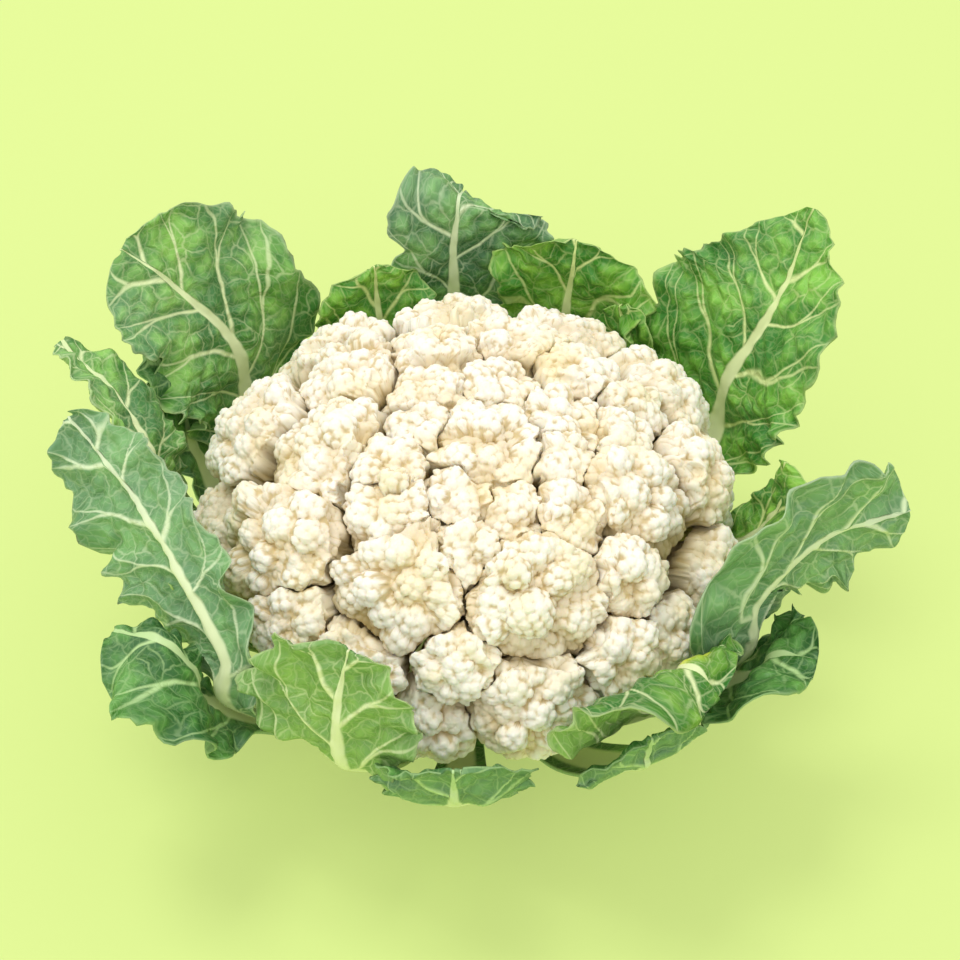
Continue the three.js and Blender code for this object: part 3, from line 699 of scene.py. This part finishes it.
def leaf_material(finish, look):
    """Fresh brassica leaf: a thin blade under a waxy bloom. The eye gets mottled green with pale yellow-green veins
    that branch and close into a net, a bluer, paler lower face and a soft broad gloss."""
    face, blotch, back, veins = (tuple(getattr(look, f"{finish}_{part}")) for part in ("face", "blotch", "lower", "veins"))
    material = bpy.data.materials.new(f"Brassica leaf {finish}")
    material.use_nodes = True
    tree = material.node_tree
    shader = tree.nodes["Principled BSDF"]
    flat = add(tree, "ShaderNodeUVMap", uv_map="Leaf")
    phase, across, grown, half, lower, rim, blight = (
        add(tree, "ShaderNodeAttribute", out="Fac", attribute_name=label)
        for label in ("phase", "across", "grown", "midrib", "lower", "rim", "blight")
    )

    # Side veins: the distance to the nearest whole phase, less the fork, in millimetres, against a width that tapers
    # towards the margin.
    wobble = add(tree, "ShaderNodeTexNoise", {"Vector": flat, "Scale": 90.0, "Detail": 2.0})
    shake = add(tree, "ShaderNodeMapRange", {"Value": wobble, "To Min": -0.10, "To Max": 0.10})
    shaken = add(tree, "ShaderNodeMath", {0: phase, 1: shake}, operation="ADD")
    nearest = add(tree, "ShaderNodeMath", {0: shaken, 1: 0.5}, operation="PINGPONG")
    limits = {"Value": rim, "From Min": 0.35, "From Max": 1.05, "To Max": FORK}
    fork = add(tree, "ShaderNodeMapRange", limits, interpolation_type="SMOOTHSTEP")
    apart = add(tree, "ShaderNodeMath", {0: nearest, 1: fork}, operation="SUBTRACT")
    apart = add(tree, "ShaderNodeMath", {0: apart}, operation="ABSOLUTE")
    gap = add(tree, "ShaderNodeMath", {0: apart, 1: look.vein_spacing / MM * 0.72}, operation="MULTIPLY")
    slim = add(tree, "ShaderNodeMapRange", {"Value": rim, "To Min": 1.4, "To Max": 0.4})
    limits = {"Value": gap, "From Min": 0.1, "From Max": slim, "To Min": 1.0, "To Max": 0.0}
    side = add(tree, "ShaderNodeMapRange", limits, interpolation_type="SMOOTHSTEP")
    began = add(tree, "ShaderNodeMapRange", {"Value": grown, "From Max": 0.12})
    fading = add(tree, "ShaderNodeMapRange", {"Value": rim, "From Min": 0.3, "To Min": 1.0, "To Max": 0.45})
    for part in (began, fading):
        side = add(tree, "ShaderNodeMath", {0: side, 1: part}, operation="MULTIPLY")

    # Net veins close into cells about 7 mm across, and finer ones about 2 mm.
    warp = add(tree, "ShaderNodeTexNoise", {"Vector": flat, "Scale": 130.0, "Detail": 3.0}, out="Color")
    scaled = add(tree, "ShaderNodeVectorMath", {0: warp, "Scale": 0.0065}, operation="SCALE")
    moved = add(tree, "ShaderNodeVectorMath", {0: flat, 1: scaled}, operation="ADD")
    cells = {"feature": "DISTANCE_TO_EDGE", "voronoi_dimensions": "2D"}
    net = add(tree, "ShaderNodeTexVoronoi", {"Vector": moved, "Scale": 140.0}, **cells)
    fine = add(tree, "ShaderNodeTexVoronoi", {"Vector": moved, "Scale": 460.0}, **cells)
    faint = add(tree, "ShaderNodeTexNoise", {"Vector": flat, "Scale": 60.0})
    strength = add(tree, "ShaderNodeMapRange", {"Value": faint, "From Min": 0.35, "From Max": 0.65, "To Min": 0.12, "To Max": 0.42})
    limits = {"Value": net, "From Min": 0.008, "From Max": 0.075, "To Min": strength, "To Max": 0.0}
    net_line = add(tree, "ShaderNodeMapRange", limits, interpolation_type="SMOOTHSTEP")
    limits = {"Value": fine, "From Min": 0.02, "From Max": 0.15, "To Min": 0.12, "To Max": 0.0}
    fine_line = add(tree, "ShaderNodeMapRange", limits, interpolation_type="SMOOTHSTEP")
    out = add(tree, "ShaderNodeMath", {0: across, 1: half}, operation="DIVIDE")
    out = add(tree, "ShaderNodeMath", {0: out}, operation="ABSOLUTE")
    limits = {"Value": out, "From Min": 0.62, "From Max": 1.0, "To Min": 1.0, "To Max": 0.0}
    middle = add(tree, "ShaderNodeMapRange", limits, interpolation_type="SMOOTHSTEP")
    edge = add(tree, "ShaderNodeMapRange", {"Value": rim, "From Min": 0.955, "From Max": 1.0, "To Max": 0.4})
    pale = middle
    for line in (side, net_line, fine_line, edge):
        pale = add(tree, "ShaderNodeMath", {0: pale, 1: line}, operation="MAXIMUM")

    # Painted light and shade: blister tops are painted lighter and the blade beside the veins darker, over a broad
    # mottling that is the leaf's own colour.
    mottle = add(tree, "ShaderNodeTexNoise", {"Vector": flat, "Scale": 42.0, "Detail": 5.0, "Roughness": 0.62})
    domes = add(tree, "ShaderNodeMapRange", {"Value": net, "From Max": 0.40}, interpolation_type="SMOOTHSTEP")
    beside = add(tree, "ShaderNodeMapRange", {"Value": gap, "From Max": 4.5}, interpolation_type="SMOOTHSTEP")
    painted_blister_light = add(tree, "ShaderNodeMath", {0: domes, 1: beside}, operation="MULTIPLY")
    mottle_and_painted_light = add(tree, "ShaderNodeMath", {0: painted_blister_light, 1: 0.10, 2: mottle}, operation="MULTIPLY_ADD")
    mottle_and_painted_light = add(tree, "ShaderNodeMapRange", {"Value": mottle_and_painted_light, "From Min": 0.42, "From Max": 0.72}, interpolation_type="SMOOTHSTEP")
    skin = add(tree, "ShaderNodeMix", {0: mottle_and_painted_light, 6: face, 7: blotch}, 2, data_type="RGBA")
    under = add(tree, "ShaderNodeMath", {0: lower, 1: 0.5}, operation="MULTIPLY")
    haze = add(tree, "ShaderNodeTexNoise", {"Vector": flat, "Scale": 18.0, "Detail": 4.0})
    bloom = getattr(look, f"{finish}_bloom")
    haze = add(tree, "ShaderNodeMapRange", {"Value": haze, "From Min": 0.35, "From Max": 0.7, "To Max": bloom})
    for amount, tint in ((under, back), (haze, tuple(look.wax)), (blight, tuple(look.blight)), (pale, veins)):
        skin = add(tree, "ShaderNodeMix", {0: amount, 6: skin, 7: tint}, 2, data_type="RGBA")
    old = add(tree, "ShaderNodeMapRange", {"Value": grown, "From Min": 0.15, "From Max": 0.9, "To Min": 1.0, "To Max": 0.0})
    fleshy = add(tree, "ShaderNodeMath", {0: middle, 1: old}, operation="MULTIPLY")
    skin = add(tree, "ShaderNodeMix", {0: fleshy, 6: skin, 7: tuple(look.midrib)}, 2, data_type="RGBA")
    tree.links.new(skin, shader.inputs["Base Color"])
    shader.inputs["Roughness"].default_value = 0.44
    shader.inputs["IOR"].default_value = 1.42
    shader.inputs["Subsurface Weight"].default_value = 0.0
    relief = add(tree, "ShaderNodeMath", {0: fine_line, 1: -1.0, 2: domes}, operation="MULTIPLY_ADD")
    blade = add(tree, "ShaderNodeMath", {0: 1.0, 1: middle}, operation="SUBTRACT")
    relief = add(tree, "ShaderNodeMath", {0: relief, 1: blade}, operation="MULTIPLY")
    bump = add(tree, "ShaderNodeBump", {"Height": relief, "Strength": 0.9, "Distance": 0.0007})
    tree.links.new(bump, shader.inputs["Normal"])
    return material


# ---------------------------------------------------------------- stalk


def stalk_material(look):
    """Cut brassica stalk: wet pith inside a fibrous green rind. The eye gets pale green with fine lengthwise fibres,
    darker leaf scars and a whiter cut face."""
    material = bpy.data.materials.new("Cut stalk")
    material.use_nodes = True
    tree = material.node_tree
    shader = tree.nodes["Principled BSDF"]
    place = add(tree, "ShaderNodeTexCoord", out="Object")
    stretched = add(tree, "ShaderNodeMapping", {"Vector": place, "Scale": (1.0, 1.0, 0.12)})
    grain = add(tree, "ShaderNodeTexNoise", {"Vector": stretched, "Scale": 700.0, "Detail": 4.0})
    skin = add(tree, "ShaderNodeMix", {0: grain, 6: tuple(look.rind), 7: tuple(look.fibres)}, 2, data_type="RGBA")
    patches = add(tree, "ShaderNodeTexNoise", {"Vector": place, "Scale": 80.0, "Detail": 3.0})
    scarred = add(tree, "ShaderNodeMapRange", {"Value": patches, "From Min": 0.5, "From Max": 0.75})
    skin = add(tree, "ShaderNodeMix", {0: scarred, 6: skin, 7: tuple(look.scars)}, 2, data_type="RGBA")
    height = add(tree, "ShaderNodeSeparateXYZ", {"Vector": place}, out="Z")
    cut = add(tree, "ShaderNodeMapRange", {"Value": height, "From Min": 0.0014, "From Max": 0.0002})
    skin = add(tree, "ShaderNodeMix", {0: cut, 6: skin, 7: tuple(look.pith)}, 2, data_type="RGBA")
    tree.links.new(skin, shader.inputs["Base Color"])
    shader.inputs["Roughness"].default_value = 0.5
    shader.inputs["IOR"].default_value = 1.4
    bump = add(tree, "ShaderNodeBump", {"Height": grain, "Strength": 0.4, "Distance": 0.0004})
    tree.links.new(bump, shader.inputs["Normal"])
    return material


# ---------------------------------------------------------------- operators


class CAULIFLOWER_OT_florets(bpy.types.Operator):
    """Makes the riced florets of the curd."""

    bl_idname = "cauliflower.florets"
    bl_label = "Florets"

    def execute(self, context):
        look = context.scene.cauliflower_curd
        layout = floret_layout()
        skin = curd_material(look)
        for i in range(len(layout)):
            points, faces, hollows = floret_surface(i, layout, look)
            piece = mesh_object(f"riced_floret_{i + 1:02d}", points, faces, {"hollow": hollows}, materials=[skin])
            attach(piece, "root")
            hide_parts(f"floret_{i + 1:02d}")
        return {"FINISHED"}


class CAULIFLOWER_OT_leaves(bpy.types.Operator):
    """Makes the wrapper leaves."""

    bl_idname = "cauliflower.leaves"
    bl_label = "Leaves"

    def execute(self, context):
        look = context.scene.cauliflower_leaves
        skins = {finish: leaf_material(finish, look) for finish in FINISHES}
        for name, leaf in LEAVES.items():
            points, faces, facts, uv = leaf_surface(name, look)
            piece = mesh_object(f"veined_leaf_{name}", points, faces, facts, uv, [skins[leaf[7]]])
            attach(piece, "root")
            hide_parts(f"leaf_{name}")
        return {"FINISHED"}


class CAULIFLOWER_OT_stalk(bpy.types.Operator):
    """Gives the stalk its cut face and fibrous rind."""

    bl_idname = "cauliflower.stalk"
    bl_label = "Stalk"

    def execute(self, context):
        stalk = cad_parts["stalk"]
        stalk.data.materials.clear()
        stalk.data.materials.append(stalk_material(context.scene.cauliflower_stalk))
        return {"FINISHED"}


class CAULIFLOWER_OT_stage(bpy.types.Operator):
    """Lays the pale floor, the soft lights and the camera."""

    bl_idname = "cauliflower.stage"
    bl_label = "Stage"

    def execute(self, context):
        scene = context.scene
        look = scene.cauliflower_stage
        corners = np.array([[-1, -1, 0], [1, -1, 0], [1, 1, 0], [-1, 1, 0]], float) * 6000
        paper = bpy.data.materials.new("Pale lime paper")
        paper.use_nodes = True
        shader = paper.node_tree.nodes["Principled BSDF"]
        shader.inputs["Base Color"].default_value = [c * (1 - look.glow) for c in look.paper[:3]] + [1]
        shader.inputs["Emission Color"].default_value = look.paper
        shader.inputs["Emission Strength"].default_value = look.glow
        shader.inputs["Roughness"].default_value = 1.0
        shader.inputs["Specular IOR Level"].default_value = 0.0
        floor = mesh_object("floor", corners, [np.array([[0, 1, 2, 3]])], materials=[paper])

        world = bpy.data.worlds.new("Soft room")
        world.use_nodes = True
        world.node_tree.nodes["Background"].inputs["Color"].default_value = (1.0, 1.0, 1.0, 1)
        world.node_tree.nodes["Background"].inputs["Strength"].default_value = look.room
        scene.world = world
        for label, place, power, size in (
            ("key", (-0.5, 0.28, 2.5), look.key, 0.8),
            ("front", (-0.1, -1.3, 1.7), look.front, 1.4),
        ):
            lamp = bpy.data.lights.new(label, "AREA")
            lamp.energy, lamp.size = power, size
            light = bpy.data.objects.new(label, lamp)
            scene.collection.objects.link(light)
            light.location = place
            aim = np.array([0, 0, 0.08]) - place
            light.rotation_euler = (math.atan2(math.hypot(aim[0], aim[1]), -aim[2]), 0, math.atan2(aim[0], -aim[1]) + math.pi)

        lens = bpy.data.cameras.new("camera")
        lens.lens, lens.sensor_width = 85.0, 36.0
        camera = bpy.data.objects.new("camera", lens)
        scene.collection.objects.link(camera)
        reach, tilt = 0.756, math.radians(45)
        camera.location = (0.004, 0.0082 - reach * math.cos(tilt), 0.0882 + reach * math.sin(tilt))
        camera.rotation_euler = (math.pi / 2 - tilt, 0, 0)
        scene.camera = camera
        scene.view_settings.view_transform = "Standard"
        return {"FINISHED"}


class CAULIFLOWER_PT_panel(bpy.types.Panel):
    """Lists the sizes, the colours and the operators."""

    bl_idname = "CAULIFLOWER_PT_panel"
    bl_label = "Cauliflower"
    bl_space_type = "VIEW_3D"
    bl_region_type = "UI"
    bl_category = "Cauliflower"

    def draw(self, context):
        for operator, (name, group) in zip(OPERATORS, GROUPS.items()):
            box = self.layout.box()
            for label in group.__annotations__:
                box.prop(getattr(context.scene, name), label)
            box.operator(operator.bl_idname)


OPERATORS = (CAULIFLOWER_OT_florets, CAULIFLOWER_OT_leaves, CAULIFLOWER_OT_stalk, CAULIFLOWER_OT_stage)
GROUPS = {
    "cauliflower_curd": CurdLook,
    "cauliflower_leaves": LeafLook,
    "cauliflower_stalk": StalkLook,
    "cauliflower_stage": StageLook,
}
CLASSES = (*GROUPS.values(), *OPERATORS, CAULIFLOWER_PT_panel)


def register():
    for cls in CLASSES:
        bpy.utils.register_class(cls)
    for name, group in GROUPS.items():
        setattr(bpy.types.Scene, name, bpy.props.PointerProperty(type=group))


def unregister():
    for name in GROUPS:
        delattr(bpy.types.Scene, name)
    for cls in reversed(CLASSES):
        bpy.utils.unregister_class(cls)


def main():
    register()
    bpy.ops.cauliflower.florets()
    bpy.ops.cauliflower.leaves()
    bpy.ops.cauliflower.stalk()
    bpy.ops.cauliflower.stage()


if __name__ == "__main__":
    main()
